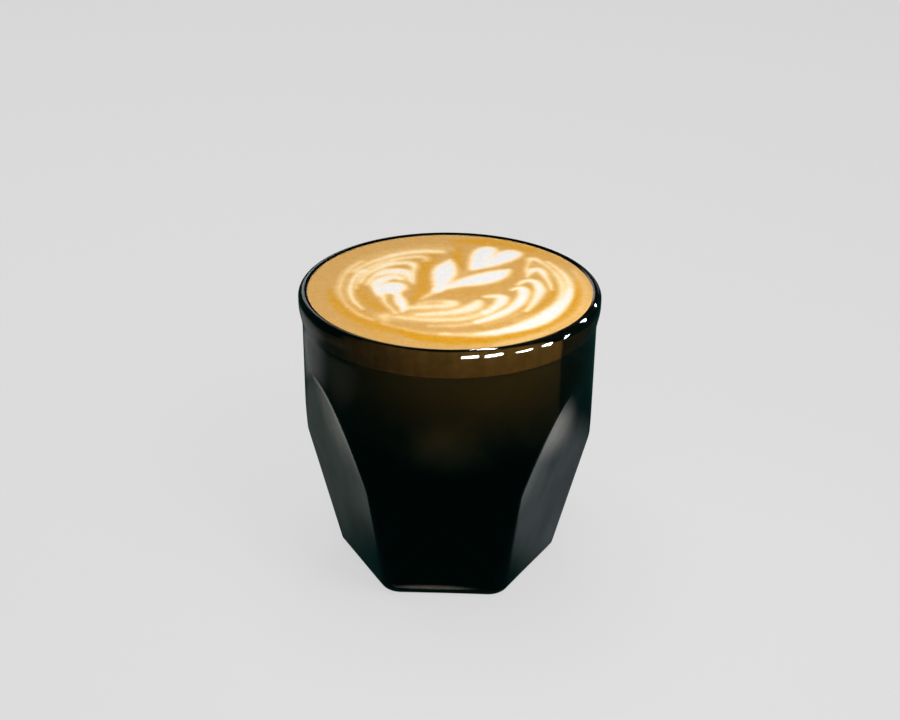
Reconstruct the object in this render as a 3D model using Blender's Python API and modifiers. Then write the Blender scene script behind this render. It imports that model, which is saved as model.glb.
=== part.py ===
# A cortado in its glass: a thick tumbler of smoked glass, round at the rim and six-sided at the foot,
# filled level with the rim by espresso under a cap of milk foam.
# Metres, +Z up. The origin is the centre of the foot, on the surface that the glass stands on.
# One of the six flat sides faces -Y.

import math

import bmesh
import bpy
from mathutils import Matrix

# The glass outside
RIM_DIAMETER = 0.0750
HEIGHT = 0.0754
BODY_RADIUS = 0.03668
BEAD_RADIUS = 0.001415  # the rim's rounded lip
LIP_STRAIGHT = 0.0014  # upright band under the lip's crest
LIP_TAPER = 0.0061  # height over which the lip runs out into the body

# The six flat sides, which lean outwards going up until they run out in the round body
SIDES = 6
FOOT_ACROSS_FLATS = 0.0500
SIDE_LEAN = 0.2006  # outwards per unit of height
RIDGE_ROUND_FOOT = 0.0030  # how far back from the corner its rounding starts, at the foot
RIDGE_ROUND_TOP = 0.0005  # and where the ridges reach the round body
RIDGE_TOP = 0.038
FOOT_EDGE_ROUND = 0.0017

# The hollow under the foot
PUNT_RADIUS = 0.0150
PUNT_DEPTH = 0.0016

# The inside: a floor, a wide rounded corner and a wall that opens slightly up to the lip
FLOOR_Z = 0.0366
CORNER_TOP_Z = 0.0500
CORNER_RADIUS_IN = 0.0200  # where the flat floor ends
CORNER_RADIUS_OUT = 0.0332  # where the wall begins

# The drink, which meets the lip just under its crest
SURFACE_EDGE_Z = 0.07495
SURFACE_RISE = 0.00030  # the middle stands this much above the edge
FOAM_DEPTH = 0.0067
GAP = 0.0003  # kept between pieces that touch

TURN_STEPS = 72
LIP_STEPS = 8
TAPER_STEPS = 4
CORNER_STEPS = 7
RISE_STEPS = 4
RIDGE_STEPS = 3
FOOT_EDGE_STEPS = 2

BEAD_CENTRE_R = RIM_DIAMETER / 2 - BEAD_RADIUS
BEAD_CENTRE_Z = HEIGHT - BEAD_RADIUS
FOAM_BOTTOM_Z = SURFACE_EDGE_Z - FOAM_DEPTH
BELOW_FOOT = 0.005  # how far helpers reach past the foot
ABOVE_RIM = 0.008  # and past the rim


def clear_scene():
    for obj in list(bpy.data.objects):
        bpy.data.objects.remove(obj, do_unlink=True)


def new_collection(name):
    collection = bpy.data.collections.new(name)
    bpy.context.scene.collection.children.link(collection)
    return collection


def new_material(name, colour, roughness, transmission=0.0, ior=1.45):
    material = bpy.data.materials.new(name)
    material.use_nodes = True
    shader = material.node_tree.nodes["Principled BSDF"]
    shader.inputs["Base Color"].default_value = (*colour, 1.0)
    shader.inputs["Roughness"].default_value = roughness
    shader.inputs["Metallic"].default_value = 0.0
    shader.inputs["Transmission Weight"].default_value = transmission
    shader.inputs["IOR"].default_value = ior
    material.diffuse_color = (*colour, 1.0)
    return material


def turned(name, outline, collection, material=None):
    """A solid of revolution. The outline's (radius, height) points run down the outer side."""
    mesh = bpy.data.meshes.new(name)
    points = [(radius, 0.0, height) for radius, height in outline]
    edges = [(i, i + 1) for i in range(len(points) - 1)]
    mesh.from_pydata(points, edges, [])
    obj = bpy.data.objects.new(name, mesh)
    collection.objects.link(obj)
    screw = obj.modifiers.new("turn", "SCREW")
    screw.axis = "Z"
    screw.angle = math.tau
    screw.steps = TURN_STEPS
    screw.render_steps = TURN_STEPS
    screw.use_merge_vertices = True
    screw.merge_threshold = 0.00001
    screw.use_smooth_shade = True
    if material:
        mesh.materials.append(material)
    return obj


def as_cutter(obj):
    obj.hide_render = True
    obj.display_type = "WIRE"
    return obj


def add_boolean(obj, cutter, operation):
    modifier = obj.modifiers.new(f"{operation.lower()} {cutter.name}", "BOOLEAN")
    modifier.operation = operation
    modifier.solver = "EXACT"
    modifier.object = cutter


def arc(centre_r, centre_z, radius_r, radius_z, start, end, steps):
    """Points on an ellipse's arc, its angles in degrees from the +X side."""
    angles = [math.radians(start + (end - start) * i / steps) for i in range(steps + 1)]
    return [(centre_r + radius_r * math.cos(a), centre_z + radius_z * math.sin(a)) for a in angles]


def floor_and_corner(gap):
    """From the middle of the floor out to the foot of the wall, this far inside the glass."""
    across = CORNER_RADIUS_OUT - CORNER_RADIUS_IN - gap
    down = CORNER_TOP_Z - FLOOR_Z - gap
    corner = arc(CORNER_RADIUS_IN, CORNER_TOP_Z, across, down, -90, 0, CORNER_STEPS)
    return [(0.0, FLOOR_Z + gap)] + corner


def wall_radius(z, gap):
    """The wall's radius between the corner and the lip, this far inside the glass."""
    up = (z - CORNER_TOP_Z) / (BEAD_CENTRE_Z - CORNER_TOP_Z)
    lip = BEAD_CENTRE_R - BEAD_RADIUS
    return CORNER_RADIUS_OUT + (lip - CORNER_RADIUS_OUT) * up - gap


def glass_outline():
    """The glass as if it were round all the way down: up the inside, over the lip, down the outside."""
    outline = floor_and_corner(0.0)
    outline += arc(BEAD_CENTRE_R, BEAD_CENTRE_Z, BEAD_RADIUS, BEAD_RADIUS, 180, 0, LIP_STEPS)
    taper_top = BEAD_CENTRE_Z - LIP_STRAIGHT
    overhang = RIM_DIAMETER / 2 - BODY_RADIUS
    for i in range(TAPER_STEPS + 1):
        t = i / TAPER_STEPS
        radius = BODY_RADIUS + overhang * (1 + math.cos(math.pi * t)) / 2
        outline.append((radius, taper_top - LIP_TAPER * t))
    outline += [(BODY_RADIUS, -BELOW_FOOT), (0.0, -BELOW_FOOT)]
    return outline


def rounded_hexagon(bm, across_flats, rounding, z):
    """The edges of one level outline with rounded corners and a flat towards -Y."""
    circle = bmesh.ops.create_circle(
        bm,
        segments=SIDES,
        radius=across_flats / 2 / math.cos(math.pi / SIDES),
        matrix=Matrix.Translation((0, 0, z)) @ Matrix.Rotation(math.pi / SIDES, 4, "Z"),
    )
    rounded = bmesh.ops.bevel(
        bm,
        geom=circle["verts"],
        offset=rounding,
        offset_type="OFFSET",
        segments=RIDGE_STEPS,
        profile=0.5,
        affect="VERTICES",
        material=-1,
    )
    corners = set(rounded["verts"])
    return [e for e in bm.edges if corners.issuperset(e.verts)]


def make_sides_cutter(collection):
    """What the six flat sides and the foot leave of the round body."""
    bm = bmesh.new()
    top_z = HEIGHT + ABOVE_RIM
    levels = ((0.0, RIDGE_ROUND_FOOT), (RIDGE_TOP, RIDGE_ROUND_TOP), (top_z, RIDGE_ROUND_TOP))
    loops = []
    for z, rounding in levels:
        loops.append(rounded_hexagon(bm, FOOT_ACROSS_FLATS + 2 * SIDE_LEAN * z, rounding, z))
    for lower, upper in zip(loops, loops[1:]):
        bmesh.ops.bridge_loops(bm, edges=lower + upper)
    foot = bmesh.ops.contextual_create(bm, geom=loops[0])["faces"]
    bmesh.ops.contextual_create(bm, geom=loops[-1])
    bmesh.ops.recalc_face_normals(bm, faces=bm.faces)
    bmesh.ops.bevel(
        bm,
        geom=foot[0].edges[:],
        offset=FOOT_EDGE_ROUND,
        offset_type="OFFSET",
        segments=FOOT_EDGE_STEPS,
        profile=0.5,
        affect="EDGES",
        material=-1,
    )
    mesh = bpy.data.meshes.new("flat_sides")
    bm.to_mesh(mesh)
    bm.free()
    obj = bpy.data.objects.new("flat_sides", mesh)
    collection.objects.link(obj)
    return as_cutter(obj)


def make_punt_cutter(collection):
    """A shallow dome that hollows the foot."""
    dome_radius = (PUNT_RADIUS**2 + PUNT_DEPTH**2) / (2 * PUNT_DEPTH)
    centre_z = PUNT_DEPTH - dome_radius
    edge_angle = math.degrees(math.acos(PUNT_RADIUS / dome_radius))
    dome = arc(0.0, centre_z, dome_radius, dome_radius, 90, edge_angle, CORNER_STEPS)
    outline = [(0.0, PUNT_DEPTH)] + dome[1:] + [(PUNT_RADIUS, -BELOW_FOOT), (0.0, -BELOW_FOOT)]
    return as_cutter(turned("punt", outline, collection))


def make_glass(collection, cutters):
    material = new_material("smoked_glass", (0.10, 0.09, 0.08), 0.02, transmission=1.0, ior=1.52)
    glass = turned("glass", glass_outline(), collection, material)
    add_boolean(glass, make_sides_cutter(cutters), "INTERSECT")
    add_boolean(glass, make_punt_cutter(cutters), "DIFFERENCE")
    return glass


def make_coffee(collection):
    """The brown body of the drink, from the floor up to the foam."""
    top_z = FOAM_BOTTOM_Z - GAP
    side = floor_and_corner(GAP) + [(wall_radius(top_z, GAP), top_z), (0.0, top_z)]
    material = new_material("coffee", (0.09, 0.035, 0.014), 0.12)
    return turned("coffee", side[::-1], collection, material)


def make_foam(collection):
    """The cap of milk foam and crema, slightly domed, whose edge lies against the lip's inner side."""
    reach = BEAD_RADIUS + GAP
    lip_angle = 180 - math.degrees(math.asin((SURFACE_EDGE_Z - BEAD_CENTRE_Z) / reach))
    edge = arc(BEAD_CENTRE_R, BEAD_CENTRE_Z, reach, reach, lip_angle, 180, 2)
    edge_radius = edge[0][0]
    top = []
    for i in range(RISE_STEPS):
        radius = edge_radius * i / RISE_STEPS
        top.append((radius, SURFACE_EDGE_Z + SURFACE_RISE * (1 - (radius / edge_radius) ** 2)))
    bottom = [(wall_radius(FOAM_BOTTOM_Z, GAP), FOAM_BOTTOM_Z), (0.0, FOAM_BOTTOM_Z)]
    material = new_material("milk_foam", (0.62, 0.36, 0.13), 0.45)
    return turned("foam", top + edge + bottom, collection, material)


def main():
    clear_scene()
    parts = new_collection("cortado")
    cutters = new_collection("cutters")
    make_glass(parts, cutters)
    make_coffee(parts)
    make_foam(parts)


main()
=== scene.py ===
# Cortado in a six-sided smoked glass: the looks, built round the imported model.
import math

import bmesh
import bpy
import numpy as np
from mathutils import Matrix, Vector


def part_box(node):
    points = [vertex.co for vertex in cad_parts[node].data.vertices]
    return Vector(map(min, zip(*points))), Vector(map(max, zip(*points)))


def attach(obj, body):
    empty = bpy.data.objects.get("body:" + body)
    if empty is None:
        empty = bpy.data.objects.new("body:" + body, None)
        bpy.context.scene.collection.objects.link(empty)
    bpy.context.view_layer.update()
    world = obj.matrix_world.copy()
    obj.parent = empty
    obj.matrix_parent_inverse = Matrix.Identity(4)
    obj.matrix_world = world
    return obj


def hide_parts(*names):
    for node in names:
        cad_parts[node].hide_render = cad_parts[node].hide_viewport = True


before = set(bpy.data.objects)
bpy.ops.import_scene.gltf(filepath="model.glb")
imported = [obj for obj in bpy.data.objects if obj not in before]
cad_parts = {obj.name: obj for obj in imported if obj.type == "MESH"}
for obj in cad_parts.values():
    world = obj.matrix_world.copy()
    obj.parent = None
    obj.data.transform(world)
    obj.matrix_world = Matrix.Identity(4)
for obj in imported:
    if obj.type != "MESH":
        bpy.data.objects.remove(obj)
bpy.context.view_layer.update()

mm = 0.001
print("frame loaded:", sorted(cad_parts))


# Camera, at the photo's angle. The glass stands at the origin with a flat side facing it.
camera = {
    "aim": (0.0, 0.0, 0.0740),  # middle of the rim
    "distance": 0.355,
    "azimuth": 1.53,  # degrees round from the front, to the right
    "elevation": 23.70,
    "tiltDown": 2.753,  # degrees below the aim
    "turn": 0.036,
    "roll": 0.666,
    "lens": 57.15,
}


def makeCamera(spec):
    azimuth, elevation = math.radians(spec["azimuth"]), math.radians(spec["elevation"])
    back = Vector((math.sin(azimuth) * math.cos(elevation), -math.cos(azimuth) * math.cos(elevation),
                   math.sin(elevation)))
    data = bpy.data.cameras.new("camera")
    data.lens = spec["lens"]
    data.clip_start = 0.01
    obj = bpy.data.objects.new("camera", data)
    bpy.context.scene.collection.objects.link(obj)
    look = (-back).to_track_quat("-Z", "Y").to_matrix().to_4x4()
    nudge = Matrix.Rotation(math.radians(-spec["tiltDown"]), 4, "X")
    nudge @= Matrix.Rotation(math.radians(-spec["turn"]), 4, "Y")
    nudge @= Matrix.Rotation(math.radians(spec["roll"]), 4, "Z")
    place = Vector(spec["aim"]) + back * spec["distance"]
    obj.matrix_world = Matrix.Translation(place) @ look @ nudge
    bpy.context.scene.camera = obj
    return place


cameraPlace = makeCamera(camera)
bpy.context.scene.view_settings.view_transform = "Standard"


# Small helpers for materials
def fromScreen(red, green, blue):
    # a colour as it reads on screen, 0 to 255, as the linear values that the shaders take
    def linear(value):
        value /= 255
        return value / 12.92 if value <= 0.04045 else ((value + 0.055) / 1.055) ** 2.4
    return (linear(red), linear(green), linear(blue), 1.0)


def addNode(tree, kind, inputs=None, **settings):
    # an input is a value, or another node's output to link
    node = tree.nodes.new(kind)
    for name, value in settings.items():
        setattr(node, name, value)
    for name, value in (inputs or {}).items():
        if isinstance(value, bpy.types.NodeSocket):
            tree.links.new(value, node.inputs[name])
        else:
            node.inputs[name].default_value = value
    return node


def mapRange(tree, value, low, high, toLow=0.0, toHigh=1.0, smooth=True):
    kind = "SMOOTHSTEP" if smooth else "LINEAR"
    node = addNode(tree, "ShaderNodeMapRange", {0: value, 1: low, 2: high, 3: toLow, 4: toHigh},
                   interpolation_type=kind)
    return node.outputs[0]


def compute(tree, operation, a, b=0.0):
    return addNode(tree, "ShaderNodeMath", {0: a, 1: b}, operation=operation).outputs[0]


def computeVector(tree, operation, a, b=(0.0, 0.0, 0.0)):
    return addNode(tree, "ShaderNodeVectorMath", {0: a, 1: b}, operation=operation)


def mixColour(tree, factor, a, b, blend="MIX"):
    node = addNode(tree, "ShaderNodeMix", {0: factor, 6: a, 7: b}, data_type="RGBA", blend_type=blend)
    return node.outputs[2]


def shadeBy(tree, colour, amount):
    # the colour, made darker or lighter by a number
    grey = addNode(tree, "ShaderNodeCombineColor", {0: amount, 1: amount, 2: amount}).outputs[0]
    return mixColour(tree, 1.0, colour, grey, "MULTIPLY")


def stir(tree, value, *amounts):
    # adds textures to a value, each times its amount
    for texture, amount in amounts:
        value = compute(tree, "ADD", value, compute(tree, "MULTIPLY", texture, amount))
    return value


def wander(tree, place, scale, detail, roughness):
    # noise that swings to either side of 0
    spots = addNode(tree, "ShaderNodeTexNoise",
                    {"Vector": place, "Scale": scale, "Detail": detail, "Roughness": roughness}).outputs[0]
    return compute(tree, "SUBTRACT", spots, 0.5)


def newMaterial(name):
    material = bpy.data.materials.new(name)
    material.use_nodes = True
    tree = material.node_tree
    return material, tree, tree.nodes["Principled BSDF"]


# Small helpers for meshes
def finishPiece(name, bm, material, node):
    # turns the bmesh into a smooth piece that stands for a CAD node
    bmesh.ops.recalc_face_normals(bm, faces=bm.faces)
    mesh = bpy.data.meshes.new(name)
    bm.to_mesh(mesh)
    bm.free()
    mesh.shade_smooth()
    mesh.materials.append(material)
    obj = bpy.data.objects.new(name, mesh)
    bpy.context.scene.collection.objects.link(obj)
    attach(obj, "root")
    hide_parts(node)
    print(f"{name}: {sum(len(p.vertices) - 2 for p in mesh.polygons)} triangles")
    return obj


def spinProfile(points, steps, follow=None):
    # spins (radius, height) points about Z, with the follow values kept on the points as a layer
    bm = bmesh.new()
    layer = bm.verts.layers.float.new("follow")
    verts = []
    for i, (radius, height) in enumerate(points):
        vert = bm.verts.new((radius, 0.0, height))
        vert[layer] = follow[i] if follow else 0.0
        verts.append(vert)
    edges = [bm.edges.new(pair) for pair in zip(verts, verts[1:])]
    parts = 8  # one part is spun, and its turned copies close the circle
    bmesh.ops.spin(bm, geom=verts + edges, axis=(0, 0, 1), cent=(0, 0, 0), steps=steps // parts,
                   angle=math.tau / parts)
    part = bm.verts[:] + bm.edges[:] + bm.faces[:]
    for i in range(1, parts):
        copy = bmesh.ops.duplicate(bm, geom=part)["geom"]
        bmesh.ops.rotate(bm, verts=[item for item in copy if isinstance(item, bmesh.types.BMVert)],
                         cent=(0, 0, 0), matrix=Matrix.Rotation(math.tau * i / parts, 3, "Z"))
    bmesh.ops.remove_doubles(bm, verts=bm.verts, dist=0.000001)
    return bm, layer


def arcPoints(centre, radii, start, end, steps):
    # points on an ellipse's arc, with the angles in degrees from the outward side
    points = []
    for i in range(steps + 1):
        angle = math.radians(start + (end - start) * i / steps)
        points.append((centre[0] + radii[0] * math.cos(angle), centre[1] + radii[1] * math.sin(angle)))
    return points


def evenly(start, end, steps):
    return [start + (end - start) * i / steps for i in range(steps + 1)]


# The glass: a section through the middle of a flat side, spun, then pushed out to the six ridges
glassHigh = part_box("glass")[1]
glass = {
    "steps": 480,
    "sides": 6,
    "rimRadius": glassHigh.x,
    "height": glassHigh.z,
    "bodyRadius": 0.03668,  # the round body under the lip
    "beadRadius": 0.001415,  # the lip's rounded edge
    "lipStraight": 0.0014,  # how far the lip goes straight down from there
    "lipTaper": 0.0061,  # and the height over which it draws in to the body
    "footRadius": 0.0250,  # to the middle of a flat side
    "lean": 0.2006,  # how far a flat side moves out, per height
    "ridgeSoftFoot": 0.0034,  # how wide the ridges round off, at the foot
    "ridgeSoftTop": 0.0006,  # and at their top
    "ridgeTop": 0.038,
    "archSoft": 0.00035,  # how softly the flat sides run out into the round body
    "footRound": 0.0019,
    "puntRadius": 0.0150,  # the hollow under the foot
    "puntDepth": 0.0016,
    "floor": 0.0366,  # the floor inside, above the table
    "cornerTop": 0.0500,  # its rounded corner ends at this height
    "cornerIn": 0.0200,  # and runs from this radius
    "cornerOut": 0.0332,  # to this one
    "smoke": (0.10, 0.08, 0.0, 1.0),  # the colour that the smoke lets through
    "smokeDensity": 420.0,
}
beadCentre = (glass["rimRadius"] - glass["beadRadius"], glass["height"] - glass["beadRadius"])


def smoothMin(a, b, width):
    overlap = max(width - abs(a - b), 0.0)
    return min(a, b) - overlap * overlap / (4 * width)


def bodyRadiusAt(z):
    # the round body with its lip
    top = beadCentre[1] - glass["lipStraight"]
    t = min(max((top - z) / glass["lipTaper"], 0.0), 1.0)
    overhang = glass["rimRadius"] - glass["bodyRadius"]
    return glass["bodyRadius"] + overhang * (1 + math.cos(math.pi * t)) / 2


def outlineRadius(angle, z):
    # how far the glass reaches in this direction, counted from the middle of a flat side
    sector = math.tau / glass["sides"]
    offset = abs((angle + sector / 2) % sector - sector / 2)
    flat = glass["footRadius"] + glass["lean"] * z
    near, far = flat / math.cos(offset), flat / math.cos(sector - offset)
    up = min(z / glass["ridgeTop"], 1.0)
    soft = glass["ridgeSoftFoot"] + (glass["ridgeSoftTop"] - glass["ridgeSoftFoot"]) * up
    return smoothMin(smoothMin(near, far, soft), bodyRadiusAt(z), glass["archSoft"])


def glassProfile():
    # from the middle of the floor, up inside, over the lip, down and under the foot,
    # and how much each point follows the six sides
    g = glass
    inside = [(0.0, g["floor"])] + [(r, g["floor"]) for r in evenly(0.004, g["cornerIn"] - 0.002, 4)]
    corner = (g["cornerOut"] - g["cornerIn"], g["cornerTop"] - g["floor"])
    inside += arcPoints((g["cornerIn"], g["cornerTop"]), corner, -90, 0, 18)
    wall = (g["cornerOut"], beadCentre[0] - g["beadRadius"])
    inside += [(wall[0] + (wall[1] - wall[0]) * t, g["cornerTop"] + (beadCentre[1] - g["cornerTop"]) * t)
               for t in evenly(0.125, 0.875, 6)]
    lip = arcPoints(beadCentre, (g["beadRadius"], g["beadRadius"]), 180, 0, 20)
    taperTop = beadCentre[1] - g["lipStraight"]
    heights = [beadCentre[1] - g["lipStraight"] / 2]
    heights += evenly(taperTop, taperTop - g["lipTaper"], 12)
    heights += evenly(taperTop - g["lipTaper"] - 0.0009, g["footRound"], 84)
    outside = [(outlineRadius(0.0, z), z) for z in heights]
    foot = outlineRadius(0.0, 0.0)
    rounding = (g["footRound"], g["footRound"])
    edge = arcPoints((foot - g["footRound"], g["footRound"]), rounding, 0, -90, 7)[1:]
    ring = [(r, 0.0) for r in evenly(foot - g["footRound"] - 0.001, g["puntRadius"], 8)]
    domeRadius = (g["puntRadius"] ** 2 + g["puntDepth"] ** 2) / (2 * g["puntDepth"])
    dome = [(r, g["puntDepth"] - domeRadius + math.sqrt(domeRadius ** 2 - r ** 2))
            for r in evenly(g["puntRadius"] - 0.0015, 0.0, 9)]
    points = inside + lip + outside + edge + ring + dome
    ringSpan = foot - g["footRound"] - g["puntRadius"]
    follow = [0.0] * (len(inside) + len(lip)) + [1.0] * (len(outside) + len(edge))
    follow += [(r - g["puntRadius"]) / ringSpan for r, z in ring] + [0.0] * len(dome)
    return points, follow


def makeGlassMaterial():
    material, tree, shader = newMaterial("smokedGlass")
    shader.inputs["Base Color"].default_value = (1.0, 1.0, 1.0, 1.0)
    shader.inputs["Roughness"].default_value = 0.0
    shader.inputs["IOR"].default_value = 1.52
    shader.inputs["Transmission Weight"].default_value = 1.0
    output = tree.nodes["Material Output"]
    smoke = addNode(tree, "ShaderNodeVolumeAbsorption",
                    {"Color": glass["smoke"], "Density": glass["smokeDensity"]})
    tree.links.new(smoke.outputs[0], output.inputs["Volume"])
    # lamps shine straight through to the drink, dimmed by the smoke alone
    shadow = addNode(tree, "ShaderNodeLightPath").outputs["Is Shadow Ray"]
    clear = addNode(tree, "ShaderNodeBsdfTransparent")
    mix = addNode(tree, "ShaderNodeMixShader", {0: shadow, 1: shader.outputs[0], 2: clear.outputs[0]})
    tree.links.new(mix.outputs[0], output.inputs["Surface"])
    return material


def makeGlass():
    points, follow = glassProfile()
    bm, layer = spinProfile(points, glass["steps"], follow)
    for vert in bm.verts:
        if vert[layer] > 0:
            x, y, z = vert.co
            radius = math.hypot(x, y)
            angle = math.atan2(x, -y)
            pushed = radius + vert[layer] * (outlineRadius(angle, z) - outlineRadius(0.0, z))
            vert.co = Vector((x * pushed / radius, y * pushed / radius, z))
    finishPiece("tumbler", bm, makeGlassMaterial(), "glass")


makeGlass()


# Painted shade: the drink's colour is made darker at its right end, past a sharp edge, on the coffee and on
# the foam's side
paintedShadeRight = {
    "from": 0.0255,  # metres to the right of the middle
    "to": 0.0263,
    "light": 0.16,  # what is left of the light there
}


# a node group that paints shade onto a colour, darker to the right of the sharp edge
def makePaintedShadeGroup():
    tree = bpy.data.node_groups.new("paintedShade", "ShaderNodeTree")
    tree.interface.new_socket("Colour", in_out="INPUT", socket_type="NodeSocketColor")
    tree.interface.new_socket("Colour", in_out="OUTPUT", socket_type="NodeSocketColor")
    given = addNode(tree, "NodeGroupInput").outputs[0]
    place = addNode(tree, "ShaderNodeTexCoord").outputs["Object"]
    across = addNode(tree, "ShaderNodeSeparateXYZ", {0: place}).outputs["X"]
    light = mapRange(tree, across, paintedShadeRight["from"], paintedShadeRight["to"], 1.0, paintedShadeRight["light"])
    addNode(tree, "NodeGroupOutput", {0: shadeBy(tree, given, light)})
    return tree


paintedShadeGroup = makePaintedShadeGroup()


def paintedShade(tree, colour):
    return addNode(tree, "ShaderNodeGroup", {0: colour}, node_tree=paintedShadeGroup).outputs[0]


# The coffee: fills the glass from its floor to the foam, reaching just into the wall
coffee = {
    "steps": 120,
    "intoWall": 0.00015,
    "wallStart": 0.0515,  # the wall's lowest ring of points, just over the rounded corner
    "top": 0.0686,
    "upper": fromScreen(65, 51, 21),
    "lower": fromScreen(32, 29, 17),
    "lowerTo": 0.0460,  # up to this height the colour is the lower one
    "upperFrom": 0.0610,  # and from this one the upper
    "sway": 0.012,  # how far up and down the change between them wanders
}


def cavitySide(out):
    # the inside of the glass from its floor to the wall, this far into the glass
    g = glass
    radii = (g["cornerOut"] - g["cornerIn"] + out, g["cornerTop"] - g["floor"] + out)
    return [(0.0, g["floor"] - out)] + arcPoints((g["cornerIn"], g["cornerTop"]), radii, -90, 0, 16)


def wallRadiusAt(z, out):
    up = (z - glass["cornerTop"]) / (beadCentre[1] - glass["cornerTop"])
    lip = beadCentre[0] - glass["beadRadius"]
    return glass["cornerOut"] + (lip - glass["cornerOut"]) * up + out


def makeCoffeeMaterial():
    material, tree, shader = newMaterial("espresso")
    place = addNode(tree, "ShaderNodeTexCoord").outputs["Object"]
    height = addNode(tree, "ShaderNodeSeparateXYZ", {0: place}).outputs["Z"]
    level = stir(tree, height, (wander(tree, place, 90.0, 4.0, 0.55), coffee["sway"]))
    level = mapRange(tree, level, coffee["lowerTo"], coffee["upperFrom"], smooth=False)
    # painted shade at the drink's right end
    colour = paintedShade(tree, mixColour(tree, level, coffee["lower"], coffee["upper"]))
    tree.links.new(colour, shader.inputs["Base Color"])
    shader.inputs["Roughness"].default_value = 0.35
    shader.inputs["IOR"].default_value = 1.34
    shader.inputs["Specular IOR Level"].default_value = 0.0
    return material


def makeCoffee():
    side = cavitySide(coffee["intoWall"])
    heights = evenly(coffee["wallStart"], coffee["top"], 12)
    side += [(wallRadiusAt(z, coffee["intoWall"]), z) for z in heights]
    side += [(r, coffee["top"]) for r in evenly(0.030, 0.0, 4)]
    bm, _ = spinProfile(side, coffee["steps"])
    finishPiece("espressoBody", bm, makeCoffeeMaterial(), "coffee")


makeCoffee()


# The foam: a cap of crema and milk foam, with the poured pattern held on its points
foam = {
    "steps": 560,
    "rings": 132,
    "intoWall": 0.00022,
    "edge": 0.07500,  # where the surface meets the lip
    "rise": 0.00030,  # the middle stands this much above the edge
    "bottom": 0.0681,
    "tan": fromScreen(205, 160, 94),
    "gold": fromScreen(208, 149, 36),
    # crema turning to milk: how much milk, and its colour there
    "milky": [(0.30, fromScreen(228, 186, 120)), (0.52, fromScreen(243, 212, 158)),
              (0.75, fromScreen(245, 226, 200)), (1.00, fromScreen(232, 230, 228))],
    "sideTop": fromScreen(130, 98, 47),
    "sideLow": fromScreen(118, 85, 38),
    "creep": 0.0001,  # how far the liquid climbs the glass
    "creepWidth": 0.0006,  # and how far in from the glass that reaches
    "wallBelow": 0.0004,  # the side's straight part starts this far under the middle of the bead
    "underLift": 0.0004,  # the underside lies this far above the side's foot
    "sideTo": 0.0003,  # the side's colour ends this far under the edge
    "surfaceFrom": 0.0001,  # and the surface's is full from here
    "paintedBrimShade": fromScreen(20, 16, 9),  # painted shade: a dark line on the foam's side where it meets the lip
    "brimShadeFrom": 0.07366,  # its lower edge at the front
    "brimShadeDrop": 0.0008,  # how much lower that is towards both sides
    "brimShadeReach": 0.026,  # and how far from the middle
    "brimShadeSoft": 0.00006,
}

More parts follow.
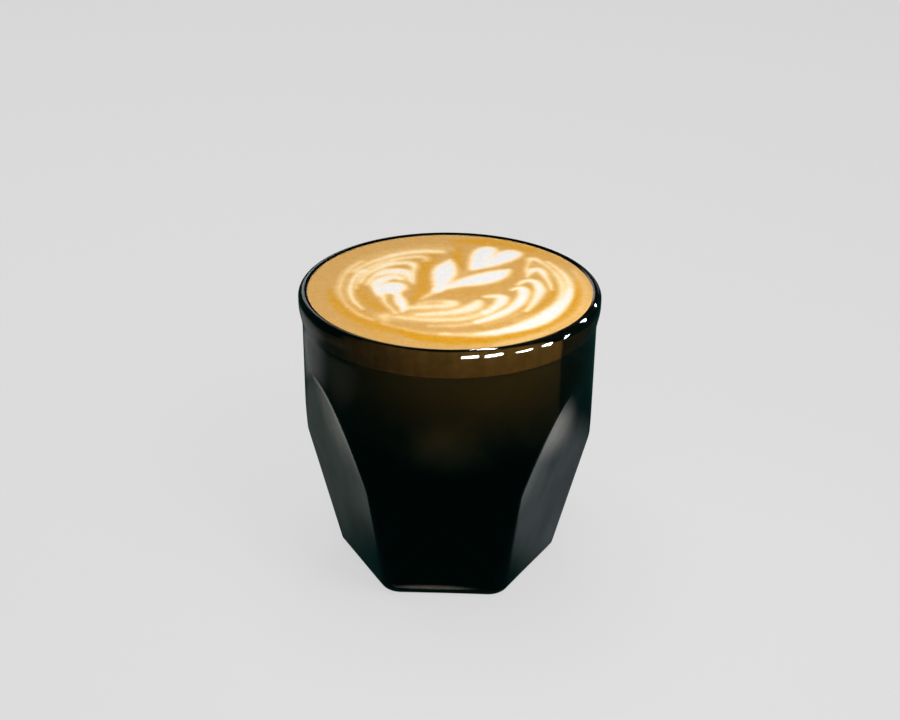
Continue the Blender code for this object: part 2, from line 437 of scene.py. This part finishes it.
# The pour, seen from above with the camera's side at the bottom. Each stroke is how white it is, how wide
# its edge fades, and its (x, y, width) points, in millimetres from the middle, joined by a smooth curve.
milkStrokes = {
    "leftLeaf": (1, 3.1, [(-3.1, -2.6, 1.4), (-2.6, -0.4, 2.4), (-2.3, 2, 3.7), (-2, 5, 4.9),
        (-1.7, 8, 5.8), (-1.6, 10.2, 5.8), (-1.4, 12.4, 4.9), (-1, 14.6, 3.2), (-0.7, 16.4, 1.4),
        (-0.5, 17.6, 0.5)]),
    "rightLeaf": (1, 3.1, [(-2.6, -1.4, 1.8), (-0.4, -0.1, 2), (1.8, 1.6, 3.2), (4, 3.1, 4.6),
        (6.2, 4.4, 5.8), (8.4, 5.8, 6.4), (10.6, 7.5, 5.9), (12.4, 9.2, 4.4), (13.8, 10.8, 2.2),
        (14.6, 11.9, 0.6)]),
    "stem": (0.62, 2.7, [(-2.9, -1.9, 2.2), (-3.7, -3.2, 1.8), (-4.6, -4.6, 1.2), (-5.6, -6, 0.8),
        (-6.5, -7.4, 0.5)]),
    "leafLink": (0.12, 3.5, [(1.2, 2.6, 2), (2, 5, 2.6), (3.2, 8, 2.2), (4.4, 10.4, 1.4), (5.2, 12, 1.2)]),
    "heartLeft": (1, 3.1, [(5.4, 11.8, 1.38), (6.2, 13.8, 3.32), (6.9, 16.4, 4.48), (7.3, 19.2, 5.06),
        (7.8, 21.8, 5.45), (8.6, 24.2, 5.45), (9.1, 24.9, 5.06)]),
    "heartRight": (1, 3.1, [(6.4, 12.8, 1.56), (8.8, 14.9, 3.3), (10.8, 16.9, 4.47), (12.6, 19.2, 5.44),
        (14.2, 21.4, 6.02), (15.2, 22.6, 5.63)]),
    "leftBlob": (1, 3.1, [(-15.2, -1.6, 5.52), (-14, -0.8, 5.91), (-13.2, -1.2, 4.94)]),
    "leftTail": (0.96, 2.6, [(-13.4, -4, 2.4), (-12.6, -5.8, 1.8), (-12.2, -7.6, 2.2), (-11.6, -9.6, 2.7),
        (-11.1, -11.4, 2.2), (-10.7, -13.2, 1.4), (-10.9, -15, 0.6)]),
    "blobTail": (0.66, 2.7, [(-16.6, -3.6, 2.8), (-16.4, -5.8, 2.2), (-16, -7.6, 1.4), (-15.5, -9.6, 0.9),
        (-14.7, -11.6, 0.7), (-13.5, -13.8, 0.7), (-12.6, -15.8, 0.6)]),
    "leftRing1": (0.95, 2.7, [(-12.6, 4.6, 0.92), (-14.2, 5.4, 1.84), (-15.8, 4.8, 2.58),
        (-17.2, 3.4, 2.94), (-18.2, 1.4, 2.76), (-18.4, -0.6, 2.21), (-18, -2.8, 1.47),
        (-17.2, -5.2, 1.1)]),
    "leftRing2": (0.8, 2.7, [(-9.9, 3.2, 0.54), (-10.3, 5.6, 1.08), (-10.9, 7.8, 2.16), (-12.2, 9.2, 3.24),
        (-14, 9.4, 3.06), (-15.8, 9.2, 2.7), (-17.2, 8.4, 1.98), (-18.6, 6.8, 1.44), (-19.6, 5, 1.26),
        (-20.2, 3, 0.9), (-20.6, 0.8, 0.72)]),
    "leftRing3": (0.72, 2.7, [(-9.2, 1.6, 0.36), (-9.4, 5, 0.54), (-9.6, 8.6, 0.81), (-9.5, 11.6, 1.35),
        (-9.9, 13.8, 2.16), (-11.2, 15, 2.16), (-13.2, 14.9, 1.98), (-15, 14.4, 2.16), (-16.8, 13.2, 2.16),
        (-18.4, 11.4, 1.8), (-19.8, 9.4, 1.17), (-21, 7.2, 0.81), (-21.8, 4.6, 0.72), (-22.3, 1.6, 0.54)]),
    "leftRing4": (0.48, 3, [(-6.7, 16.8, 1), (-7, 18.6, 1.8), (-8.6, 19.4, 1.6), (-11, 19, 1.6),
        (-13.4, 18, 1.8), (-15.6, 16.6, 1.8), (-17.6, 15.2, 1.6), (-19.4, 13.4, 1.4), (-21, 11.2, 1.2),
        (-22.4, 9, 1.2)]),
    "leftLine4": (0.7, 2.2, [(-22.2, 9.6, 0.84), (-23.4, 7.6, 1.08), (-24.1, 5, 1.32), (-24.5, 2.2, 1.32),
        (-24.6, -0.6, 1.32), (-24.5, -3.2, 1.44), (-24.1, -5.8, 1.2), (-23.5, -8, 1.08),
        (-22.7, -10.2, 0.96), (-21.7, -12, 0.72), (-20.5, -14, 0.48)]),
    "leftLine3": (0.5, 2.2, [(-21.2, 9.4, 0.66), (-22.3, 7, 0.99), (-22.9, 4, 0.77), (-23.2, 1, 0.55),
        (-23.1, -2, 0.44)]),
    "leftRing5": (0.66, 3, [(-3, 23.2, 2), (-5, 23.4, 2.4), (-8, 23.2, 2.4), (-10.4, 22.7, 2.3),
        (-12.6, 21.8, 2.2), (-14.8, 20.6, 2.2), (-16.6, 19.2, 2), (-18.6, 17.4, 1.6), (-20.4, 15.6, 1.2),
        (-22, 13.4, 0.9), (-23.4, 11.2, 0.8), (-24.6, 8.6, 0.6)]),
    "leftRing6": (0.42, 2.4, [(-23.2, 15.6, 0.88), (-24.8, 13, 1.32), (-26, 10, 1.54), (-26.8, 6.6, 1.65),
        (-27.2, 3, 1.76), (-27.3, -0.6, 1.65), (-27, -4, 1.32), (-26.2, -7.2, 1.1), (-25.2, -10.2, 0.77),
        (-23.8, -13.2, 0.77), (-22, -16, 0.77), (-19.8, -18.4, 0.77), (-17.4, -20.2, 0.66)]),
    "bandLeft": (0.22, 2, [(-15, -22.2, 0.72), (-12, -23.6, 1.2), (-9, -25, 1.44), (-6, -26.2, 1.68),
        (-3, -26.8, 1.92), (0, -27, 2.16)]),
    "bandLow": (0.42, 2, [(-1, -26.9, 1.1), (2, -27, 1.87), (5, -27, 2.31), (8, -26.6, 2.86),
        (11, -25.8, 3.3)]),
    "outerBand": (0.95, 2.4, [(7, -26.6, 0.3), (9.5, -26, 1.2), (12.2, -25, 2.34), (15, -23.6, 3.06),
        (17.8, -21.8, 3.69), (20.4, -19.6, 4.05), (22.6, -17.2, 4.14), (24.4, -14.6, 3.87),
        (26, -11.8, 3.33), (27.4, -8.8, 2.79), (28.5, -5.8, 1.95), (29.2, -2.8, 1.2), (29.7, 0.4, 0.4)]),
    "bandUp": (0.7, 2.6, [(28.6, -6, 1.4), (29.2, -3, 1.9), (29.8, 2.4, 1.87), (29.6, 5.6, 1.76),
        (29, 8.6, 1.65), (28.1, 11.4, 1.43), (27, 14, 1.1), (25.8, 16.2, 0.77), (24.6, 18.2, 0.55)]),
    "rightRing1": (0.58, 2.4, [(18.9, 11, 0.46), (19.3, 14, 0.69), (19.8, 17, 1.03), (20.5, 19.6, 2.3),
        (21.6, 19.4, 2.07), (22.9, 17.8, 1.49), (24.2, 15.6, 1.26), (25.6, 12.6, 1.03), (26.7, 9.4, 1.03),
        (27.5, 6, 1.26), (27.8, 2.6, 1.38), (27.7, -0.8, 1.26), (27.2, -4.4, 1.15), (26.3, -7.8, 1.15),
        (25, -11, 1.26), (23.2, -14, 1.49)]),
    "rightRing2": (0.8, 2.4, [(19.3, 7.6, 0.57), (19.7, 9.6, 1.14), (20.6, 11.8, 2.28), (21.9, 12.6, 2.47),
        (23, 11.2, 2.09), (23.7, 8.8, 1.52), (24.3, 6.2, 1.04), (24.9, 3.2, 0.76), (25.1, 0.2, 0.47)]),
    "rightRing3": (0.92, 2.6, [(17, 2.6, 0.57), (18.2, 4.4, 1.14), (19.8, 5.2, 1.71), (21.2, 4.4, 2.09),
        (22, 2.2, 2.28), (22.3, -0.4, 2.38), (21.9, -3, 2.18), (21.3, -5.6, 1.71), (20.6, -8, 1.42),
        (19.8, -10.4, 1.04), (18.7, -13, 0.66)]),
    "rightRing4": (0.97, 2.6, [(15.4, -0.9, 0.55), (16.6, 0, 1.47), (17.8, 0, 2.39), (18.3, -1.8, 2.67),
        (18.1, -4.6, 2.58), (17.4, -7.4, 2.67), (16.3, -9.9, 2.58), (15, -12.2, 2.3), (13.4, -14.4, 2.39),
        (11.4, -16.5, 2.39), (9.3, -18.4, 2.02), (7.2, -20, 1.38)]),
    "ringTail4": (0.45, 2.7, [(8, -19.4, 1.2), (6, -20.8, 1.6), (3.6, -21.8, 1.5), (1, -22.4, 1.4),
        (-1.6, -22.6, 0.9), (-4, -22.8, 0.5)]),
    "rightRing5": (0.93, 2.6, [(8.8, -5.5, 0.74), (10.4, -5.2, 1.56), (12.2, -5.2, 2.39), (13, -6.4, 2.94),
        (12.6, -8.6, 2.85), (11.7, -10.8, 2.39), (10.5, -12.9, 1.93), (8.8, -15, 1.47)]),
    "ringTail5": (0.5, 2.7, [(9.4, -14.2, 1.6), (7.4, -16.4, 2), (5, -18, 2), (2.2, -19.1, 1.9),
        (-0.8, -19.4, 1.9), (-3.6, -19.6, 1.8), (-6.4, -19.5, 1.3), (-9.4, -19, 1), (-12, -18.4, 0.6)]),
    "rightRing6": (0.72, 2.7, [(7.2, -8.6, 1.98), (6.6, -10.4, 2.88), (5.2, -12.3, 2.88), (3.2, -14, 2.25),
        (0.8, -15.1, 1.71), (-1.8, -15.8, 1.44), (-4.4, -16.4, 1.08), (-7, -16.6, 0.81)]),
    "rightRing7": (0.66, 3, [(0.7, -10.2, 3.23), (-0.8, -11.2, 2.75), (-3.4, -11.8, 2.09),
        (-6, -12.2, 2.18), (-8.4, -12.7, 1.9), (-10.4, -13.4, 1.14)]),
    "rightRing8": (0.45, 3, [(1.2, -9.2, 1.6), (-1.4, -8.9, 1.6), (-4.2, -9.2, 1.6), (-6.8, -10.2, 1.2)]),
    "pourSpot": (0.28, 2.7, [(-14.9, -17.4, 2), (-14.7, -19.4, 2.4), (-14.6, -21.2, 1.4)]),
}
# Where milk only clouds the crema
veilStrokes = {
    "frontVeil": (0.3, 5, [(-16, -17.8, 2.2), (-10, -18, 3.85), (-4, -16.6, 7.15), (2, -15.5, 7.7),
        (7, -12.5, 5.5)]),
    "leftVeil": (0.42, 4, [(-11.5, 4, 2), (-14, 8, 5), (-17, 8, 4)]),
    "ringVeil": (0.18, 4.5, [(-9, 20.4, 3), (-13, 18.6, 4), (-17, 15.4, 4), (-20.5, 11.5, 3),
        (-22.5, 7.5, 2)]),
    "topVeil": (0.14, 4, [(-25.5, 9, 2.5), (-23.5, 15, 3), (-19, 20.6, 3), (-13, 24, 2.5), (-6, 26, 3),
        (-1, 25.6, 3)]),
    "linkVeil": (0.16, 4, [(8, 12.6, 1), (12, 14.4, 0.6)]),
    "wingVeil": (0.22, 3.5, [(26.4, 10, 1.6), (28.5, 2, 1.6), (28, -4, 1.8), (25.4, -10, 2.4),
        (21.6, -15.4, 3), (17, -19.6, 2.6)]),
    "upVeil": (0.14, 3, [(20.6, 16, 0.8), (22.6, 14.6, 1.2), (25.6, 9, 0.6)]),
    "rimVeil": (0.28, 4, [(12, -31.5, 1.5), (18, -28.6, 1.6), (23, -24.6, 1.2)]),
    "rightVeil": (0.2, 3, [(31.3, 12.5, 1.6), (33, 5, 2.2), (33.5, -2, 2.2), (32.4, -8.5, 2.2),
        (30.9, -13, 2), (28, -18, 1.8), (24, -23.2, 1.4)]),
    "gapVeil": (0.2, 3, [(9, -21.6, 1.4), (14, -17.6, 2), (17.4, -13.6, 1.6)]),
}
# Where the crema is deeper and more golden than tan
goldStrokes = {
    "channel": (0.6, 3.6, [(-5, 22, 3.1), (-6.6, 15, 3.5), (-7, 8, 4.1), (-6.8, 2, 4.1), (-6.6, -4, 4.1),
        (-8.4, -8.4, 2.7)]),
    "centre": (0.27, 5, [(-1, -5, 3.5), (4, -4, 5), (9, -1.5, 4), (12, 1.5, 4), (15, 4, 3.1), (17, 10, 2.1),
        (17.6, 16, 2.5), (19.4, 23, 2.5)]),
    "stripe": (0.65, 3.2, [(1.4, 26, 2.1), (1.2, 20, 2.7), (1.6, 15.6, 2.3), (2.8, 12.6, 1.5)]),
    "leftGold": (0.6, 3.5, [(-22.6, 3, 1.3), (-22.4, -2, 1.9), (-20.6, -7, 2.7), (-18.4, -11, 3.5),
        (-15.8, -14, 2.5)]),
    "ringGold": (1, 3, [(-10, -26, 1.2), (-6, -28, 4.4), (0, -29.4, 5), (6, -29.3, 5), (11, -28.3, 4.6),
        (15.6, -26.2, 4.2), (20, -23.4, 4), (24, -20.2, 4), (27, -16.4, 4), (29, -12, 3.8), (30.6, -7, 3.6),
        (31.4, -1, 3.4), (31.6, 5, 3)]),
    "topGold": (0.68, 4.5, [(1, 30.8, 2.9), (6, 31.4, 4.3), (11, 30.8, 4.7), (15, 29.2, 3.7),
        (20, 26.4, 2.7)]),
    "topRight": (0.36, 4, [(21, 26, 2.5), (25, 22, 2.9), (28, 18, 2.1)]),
    "wingGold": (0.45, 3.2, [(8, -22.8, 1.9), (12, -19.8, 2.5), (15.4, -16.8, 2.9), (17.8, -13.6, 2.7),
        (19, -9, 1.3)]),
    "wingGold2": (0.65, 3, [(26, 4, 1.3), (25.6, -2, 2.1), (23.8, -7, 2.5), (21.6, -11.4, 2.5),
        (18.6, -14.6, 1.9)]),
    "wingGold3": (0.5, 2.4, [(20.2, 1, 1.1), (20, -4, 1.3), (18.8, -8, 1.3), (16.8, -11.6, 1.3)]),
    "leftEdge": (0.35, 5, [(-22, -22.6, 1.5), (-17, -26.6, 1.5), (-13, -30, 1.5)]),
    "ringLeft": (0.7, 3, [(-29.6, -3, 0.6), (-28.4, -8, 2.2), (-25.6, -12.6, 4.2), (-22.6, -17, 4.6),
        (-19, -20.8, 4.6), (-15.6, -23.2, 4.2), (-11, -25.6, 4), (-6, -28, 4.4)]),
}


def smoothPath(points, steps=7):
    # a Catmull-Rom curve through the points, with the widths carried along
    rows = np.array([points[0], *points, points[-1]], float)
    out = []
    for a, b, c, d in zip(rows, rows[1:], rows[2:], rows[3:]):
        for t in np.arange(steps) / steps:
            out.append(0.5 * (2 * b + (c - a) * t + (2 * a - 5 * b + 4 * c - d) * t ** 2
                              + (3 * b - a - 3 * c + d) * t ** 3))
    out.append(rows[-1])
    return np.array(out)


def strokeCover(places, points, fade):
    # how much of each place a stroke covers, from 0 to 1
    path = smoothPath(points)
    reach = path[:, 2].max() / 2 + fade
    low, high = path[:, :2].min(0) - reach, path[:, :2].max(0) + reach
    near = np.flatnonzero(np.all((places > low) & (places < high), axis=1))
    spots = places[near]
    inside = np.full(len(near), -1e9)
    for start, end in zip(path, path[1:]):
        along = end[:2] - start[:2]
        length = max(float(along @ along), 1e-9)
        t = np.clip((spots - start[:2]) @ along / length, 0, 1)
        distance = np.hypot(*(spots - start[:2] - t[:, None] * along).T)
        inside = np.maximum(inside, (start[2] + (end[2] - start[2]) * t) / 2 - distance)
    cover = np.zeros(len(places))
    t = np.clip(inside / fade + 0.5, 0, 1)
    cover[near] = t * t * (3 - 2 * t)
    return cover


def paintPour(mesh):
    # writes the pattern to the mesh as two point attributes, milk and gold
    places = np.empty(len(mesh.vertices) * 3, np.float32)
    mesh.vertices.foreach_get("co", places)
    places = places.reshape(-1, 3)[:, :2].astype(float) / mm
    for name, tables in (("milk", (milkStrokes, veilStrokes)), ("gold", (goldStrokes,))):
        left = np.ones(len(places))
        for table in tables:
            for strength, fade, points in table.values():
                left *= 1 - strength * strokeCover(places, points, fade)
        attribute = mesh.attributes.new(name, "FLOAT", "POINT")
        attribute.data.foreach_set("value", (1 - left).astype(np.float32))


def makeFoamMaterial():
    material, tree, shader = newMaterial("microFoam")
    place = addNode(tree, "ShaderNodeTexCoord").outputs["Object"]
    height = addNode(tree, "ShaderNodeSeparateXYZ", {0: place}).outputs["Z"]
    milk = addNode(tree, "ShaderNodeAttribute", attribute_name="milk").outputs["Fac"]
    gold = addNode(tree, "ShaderNodeAttribute", attribute_name="gold").outputs["Fac"]
    broad = wander(tree, place, 120.0, 3.0, 0.5)
    middling = wander(tree, place, 480.0, 3.0, 0.6)
    grain = wander(tree, place, 1700.0, 2.0, 0.6)
    # streaks that run round the glass with the pour
    flat = computeVector(tree, "MULTIPLY", place, (1.0, 1.0, 0.0)).outputs[0]
    radius = computeVector(tree, "LENGTH", flat).outputs["Value"]
    around = computeVector(tree, "NORMALIZE", flat).outputs[0]
    around = computeVector(tree, "MULTIPLY", around, (5.0, 5.0, 5.0)).outputs[0]
    lift = addNode(tree, "ShaderNodeCombineXYZ", {2: compute(tree, "MULTIPLY", radius, 650.0)}).outputs[0]
    streak = wander(tree, computeVector(tree, "ADD", around, lift).outputs[0], 1.0, 3.0, 0.55)
    goldMore = stir(tree, gold, (broad, 0.35), (streak, 0.55))
    colour = mixColour(tree, mapRange(tree, goldMore, 0.0, 0.8, smooth=False), foam["tan"], foam["gold"])
    milkMore = stir(tree, milk, (grain, 0.10), (middling, 0.10), (streak, 0.08))
    start = 0.0
    for stop, shade in foam["milky"]:
        colour = mixColour(tree, mapRange(tree, milkMore, start, stop, smooth=False), colour, shade)
        start = stop
    colour = shadeBy(tree, colour, stir(tree, 1.0, (grain, 0.22), (middling, 0.16)))
    side = mapRange(tree, height, foam["bottom"], foam["edge"])
    side = mixColour(tree, side, foam["sideLow"], foam["sideTop"])
    runs = wander(tree, around, 2.5, 3.0, 0.6)
    # the side's colour, uneven in runs, with painted shade at its right end
    side = paintedShade(tree, shadeBy(tree, side, stir(tree, 1.0, (runs, 0.7), (middling, 0.6))))
    # painted shade: a dark line along the top of the side, under the lip, lower towards both sides
    across = compute(tree, "ABSOLUTE", addNode(tree, "ShaderNodeSeparateXYZ", {0: place}).outputs["X"])
    drop = compute(tree, "POWER", compute(tree, "MULTIPLY", across, 1 / foam["brimShadeReach"]), 3.0)
    paintedBrimShade = mapRange(tree, stir(tree, height, (drop, foam["brimShadeDrop"])),
                    foam["brimShadeFrom"] - foam["brimShadeSoft"], foam["brimShadeFrom"] + foam["brimShadeSoft"])
    side = mixColour(tree, paintedBrimShade, side, foam["paintedBrimShade"])
    onTop = mapRange(tree, height, foam["edge"] - foam["sideTo"], foam["edge"] - foam["surfaceFrom"])
    colour = mixColour(tree, onTop, side, colour)
    tree.links.new(colour, shader.inputs["Base Color"])
    bump = addNode(tree, "ShaderNodeBump", {"Strength": 0.25, "Distance": 0.0002, "Height": grain})
    tree.links.new(bump.outputs[0], shader.inputs["Normal"])
    tree.links.new(mapRange(tree, grain, -0.3, 0.3, 0.34, 0.5), shader.inputs["Roughness"])
    shader.inputs["IOR"].default_value = 1.34
    shader.inputs["Specular IOR Level"].default_value = 0.0
    return material


def makeFoam():
    f = foam
    reach = glass["beadRadius"] - f["intoWall"]
    lipAngle = 180 - math.degrees(math.asin((f["edge"] - beadCentre[1]) / reach))
    flank = arcPoints(beadCentre, (reach, reach), lipAngle, 180, 6)
    edgeRadius = flank[0][0]
    top = []
    for radius in evenly(0.0, edgeRadius, f["rings"])[:-1]:
        creep = f["creep"] * math.exp(-(edgeRadius - radius) / f["creepWidth"])
        crown = f["rise"] * (1 - (radius / edgeRadius) ** 2)
        top.append((radius, f["edge"] - f["creep"] + crown + creep))
    heights = evenly(beadCentre[1] - f["wallBelow"], f["bottom"], 8)
    side = [(wallRadiusAt(z, f["intoWall"]), z) for z in heights]
    under = [(r, f["bottom"] + f["underLift"]) for r in (0.030, 0.015, 0.0)]
    bm, _ = spinProfile(top + flank + side + under, f["steps"])
    obj = finishPiece("foamCap", bm, makeFoamMaterial(), "foam")
    paintPour(obj.data)


makeFoam()


# Stage: a plain pale floor, a pale surround and soft light
stage = {
    "floorRadius": 3.0,
    "floorBelow": 0.0001,  # keeps it clear of the glass's foot
    "floorColour": fromScreen(105, 105, 105),
    "floorOwnLight": 0.60,
    "surround": fromScreen(221, 221, 221),
    "surroundLight": 0.45,
    # the colour of floor and surround where the glass mirrors or bends the view
    "behindGlass": (0.007, 0.034, 0.030, 1.0),
    # brighter places that only the glass mirrors: middle on the floor, degrees turned, half length and half
    # width, how much of that is flat, brightness, tint
    "floorGlow": [
        ((-0.066, 0.026), -45.8, (0.060, 0.030), 0.4, 0.10, (1.0, 1.0, 0.95)),
        ((-0.0781, 0.0287), -45.8, (0.046, 0.0105), 0.2, 0.55, (1.0, 0.95, 0.88)),
        ((-0.0467, -0.0036), -45.8, (0.028, 0.009), 0.2, 0.12, (1.0, 1.0, 0.95)),
        ((0.0500, 0.0100), 45.8, (0.042, 0.030), 0.5, 0.17, (0.90, 0.95, 1.0)),
        ((0.0725, 0.0229), 45.8, (0.022, 0.0085), 0.2, 0.60, (1.0, 0.94, 0.88)),
        ((0.0544, 0.0029), 45.8, (0.024, 0.008), 0.2, 0.25, (1.0, 0.98, 0.95)),
        ((-0.128, 0.080), 60.0, (0.090, 0.050), 0.3, 0.26, (1.0, 0.96, 0.93)),
        ((-0.003, -0.0272), 0.0, (0.013, 0.0012), 0.2, 1.20, (1.0, 0.86, 0.72)),
        ((-0.150, -0.030), 90.0, (0.060, 0.030), 0.3, 0.08, (1.0, 1.0, 0.8)),
    ],
    # all uneven in long streaks, which run up the two sides that mirror them
    "streakTurn": 45.8,
    "streakScale": (30.0, 260.0, 1.0),
    "streakDepth": 1.1,
    # and in the air: degrees from behind the glass to the right, elevation, half width, brightness
    "airGlow": [(-15.0, 22.0, 13.0, 1.2), (17.0, 8.0, 10.0, 0.3)],
    "airCore": 0.5,  # how much of that width is flat
    # name, place, width and watts, all aimed at one spot
    "lamps": [("softBox", (-0.10, 0.15, 0.90), 0.6, 3.85), ("keyBox", (0.07, -0.10, 0.20), 0.08, 0.16)],
    "lampAim": (0.0, 0.0, 0.05),
}


def throughGlass(tree):
    # 1 where a mirror-like reflection or a refraction looks, 0 for the camera and for scattered light
    path = addNode(tree, "ShaderNodeLightPath").outputs
    mirrored = compute(tree, "MULTIPLY", path["Is Glossy Ray"], path["Is Reflection Ray"])
    return compute(tree, "MAXIMUM", mirrored, path["Is Transmission Ray"])


def makeFloor():
    bm = bmesh.new()
    bmesh.ops.create_circle(bm, cap_ends=True, segments=96, radius=stage["floorRadius"])
    bmesh.ops.translate(bm, verts=bm.verts, vec=(0, 0, -stage["floorBelow"]))
    mesh = bpy.data.meshes.new("floor")
    bm.to_mesh(mesh)
    bm.free()
    material, tree, shader = newMaterial("paleFloor")
    shader.inputs["Base Color"].default_value = stage["floorColour"]
    shader.inputs["Roughness"].default_value = 0.9
    shader.inputs["Specular IOR Level"].default_value = 0.0
    shader.inputs["Emission Color"].default_value = (1.0, 1.0, 1.0, 1.0)
    shader.inputs["Emission Strength"].default_value = stage["floorOwnLight"]
    place = addNode(tree, "ShaderNodeTexCoord").outputs["Object"]
    glow = stage["behindGlass"]
    for middle, turn, halves, flat, strength, tint in stage["floorGlow"]:
        local = addNode(tree, "ShaderNodeMapping",
                        {"Vector": place, "Location": (*middle, 0.0), "Scale": (*halves, 1.0),
                         "Rotation": (0.0, 0.0, math.radians(turn))}, vector_type="TEXTURE").outputs[0]
        away = computeVector(tree, "LENGTH", local).outputs["Value"]
        glow = mixColour(tree, mapRange(tree, away, flat, 1.0, strength, 0.0), glow, (*tint, 1.0), "ADD")
    parts = addNode(tree, "ShaderNodeSeparateXYZ", {0: place}).outputs
    streaks = addNode(tree, "ShaderNodeCombineXYZ",
                      {0: compute(tree, "ABSOLUTE", parts["X"]), 1: parts["Y"]}).outputs[0]
    turn = (0.0, 0.0, math.radians(-stage["streakTurn"]))
    streaks = addNode(tree, "ShaderNodeMapping", {"Vector": streaks, "Rotation": turn}).outputs[0]
    streaks = computeVector(tree, "MULTIPLY", streaks, stage["streakScale"]).outputs[0]
    uneven = stir(tree, 1.0, (wander(tree, streaks, 1.0, 5.0, 0.65), stage["streakDepth"]))
    emission = addNode(tree, "ShaderNodeEmission", {"Color": glow, "Strength": uneven})
    mix = addNode(tree, "ShaderNodeMixShader", {0: throughGlass(tree), 1: shader.outputs[0],
                                                2: emission.outputs[0]})
    tree.links.new(mix.outputs[0], tree.nodes["Material Output"].inputs["Surface"])
    mesh.materials.append(material)
    obj = bpy.data.objects.new("floor", mesh)
    bpy.context.scene.collection.objects.link(obj)


def onBearing(bearing, rise):
    # a direction, in degrees from behind the glass towards the right, and degrees up
    a, e = math.radians(bearing), math.radians(rise)
    return Vector((math.sin(a) * math.cos(e), math.cos(a) * math.cos(e), math.sin(e)))


def makeWorld():
    world = bpy.data.worlds.new("surround")
    bpy.context.scene.world = world
    world.use_nodes = True
    tree = world.node_tree
    seen = addNode(tree, "ShaderNodeLightPath").outputs["Is Camera Ray"]
    strength = mapRange(tree, seen, 0.0, 1.0, stage["surroundLight"], 1.0)
    plain = shadeBy(tree, stage["surround"], strength)
    direction = addNode(tree, "ShaderNodeTexCoord").outputs["Generated"]
    glow = stage["behindGlass"]
    for bearing, rise, halfWidth, brightness in stage["airGlow"]:
        facing = computeVector(tree, "DOT_PRODUCT", direction, onBearing(bearing, rise)).outputs["Value"]
        edge = math.cos(math.radians(halfWidth))
        core = math.cos(math.radians(halfWidth * stage["airCore"]))
        card = mapRange(tree, facing, edge, core, 0.0, brightness)
        glow = mixColour(tree, 1.0, glow, card, "LIGHTEN")
    colour = mixColour(tree, throughGlass(tree), plain, glow)
    tree.links.new(colour, tree.nodes["Background"].inputs["Color"])


def addLamp(name, place, width, watts):
    data = bpy.data.lights.new(name, "AREA")
    data.size = width
    data.energy = watts
    obj = bpy.data.objects.new(name, data)
    obj.location = place
    obj.rotation_euler = (Vector(stage["lampAim"]) - Vector(place)).to_track_quat("-Z", "Y").to_euler()
    obj.visible_glossy = obj.visible_camera = False
    bpy.context.scene.collection.objects.link(obj)


# Small bright strips for the glints on the rim. From behind, part of the rim and both edges of the upper
# body mirror them as bright lines. Each is given by where its glint lies on the lip: from and to in degrees
# round from the front, then from and to in degrees tipped outwards.
rimGlints = {
    "distance": 0.15,  # of a strip from the rim
    "brightness": 48.0,  # watts per square metre of a strip
    "spread": 40.0,  # degrees
    "glints": [(5.8, 11.6, 89, 68), (14.0, 20.0, 89, 68), (26.2, 31.2, 88, 80), (36.0, 40.4, 88, 80),
               (47.0, 49.0, 86, 78), (12.4, 17.2, 17, 4), (59.3, 61.2, 46, 27), (73.8, 75.3, 33, 18)],
}


def glintPlace(around, tip):
    # where this spot of the rim mirrors, as the camera sees it
    a, t = math.radians(around), math.radians(tip)
    normal = Vector((math.sin(a) * math.sin(t), -math.cos(a) * math.sin(t), math.cos(t)))
    spot = Vector((math.sin(a) * beadCentre[0], -math.cos(a) * beadCentre[0], beadCentre[1]))
    spot += normal * glass["beadRadius"]
    view = (cameraPlace - spot).normalized()
    return spot + (normal * 2 * normal.dot(view) - view) * rimGlints["distance"]


def addGlint(number, start, end, low, high):
    corners = [glintPlace(around, tip) for tip in (low, high) for around in (start, end)]
    across = (corners[1] - corners[0] + corners[3] - corners[2]) / 2
    up = (corners[2] - corners[0] + corners[3] - corners[1]) / 2
    data = bpy.data.lights.new(f"glint{number}", "AREA")
    data.shape = "RECTANGLE"
    data.size, data.size_y = across.length, up.length
    data.energy = rimGlints["brightness"] * data.size * data.size_y
    data.spread = math.radians(rimGlints["spread"])
    side = across.normalized()
    out = side.cross(up).normalized()
    turn = Matrix((side, out.cross(side), out)).transposed().to_4x4()
    obj = bpy.data.objects.new(f"glint{number}", data)
    obj.matrix_world = Matrix.Translation(sum(corners, Vector()) / 4) @ turn
    obj.visible_camera = obj.visible_diffuse = obj.visible_transmission = False
    bpy.context.scene.collection.objects.link(obj)


makeFloor()
makeWorld()
for lamp in stage["lamps"]:
    addLamp(*lamp)
for number, spec in enumerate(rimGlints["glints"]):
    addGlint(number, *spec)
print("stage set")
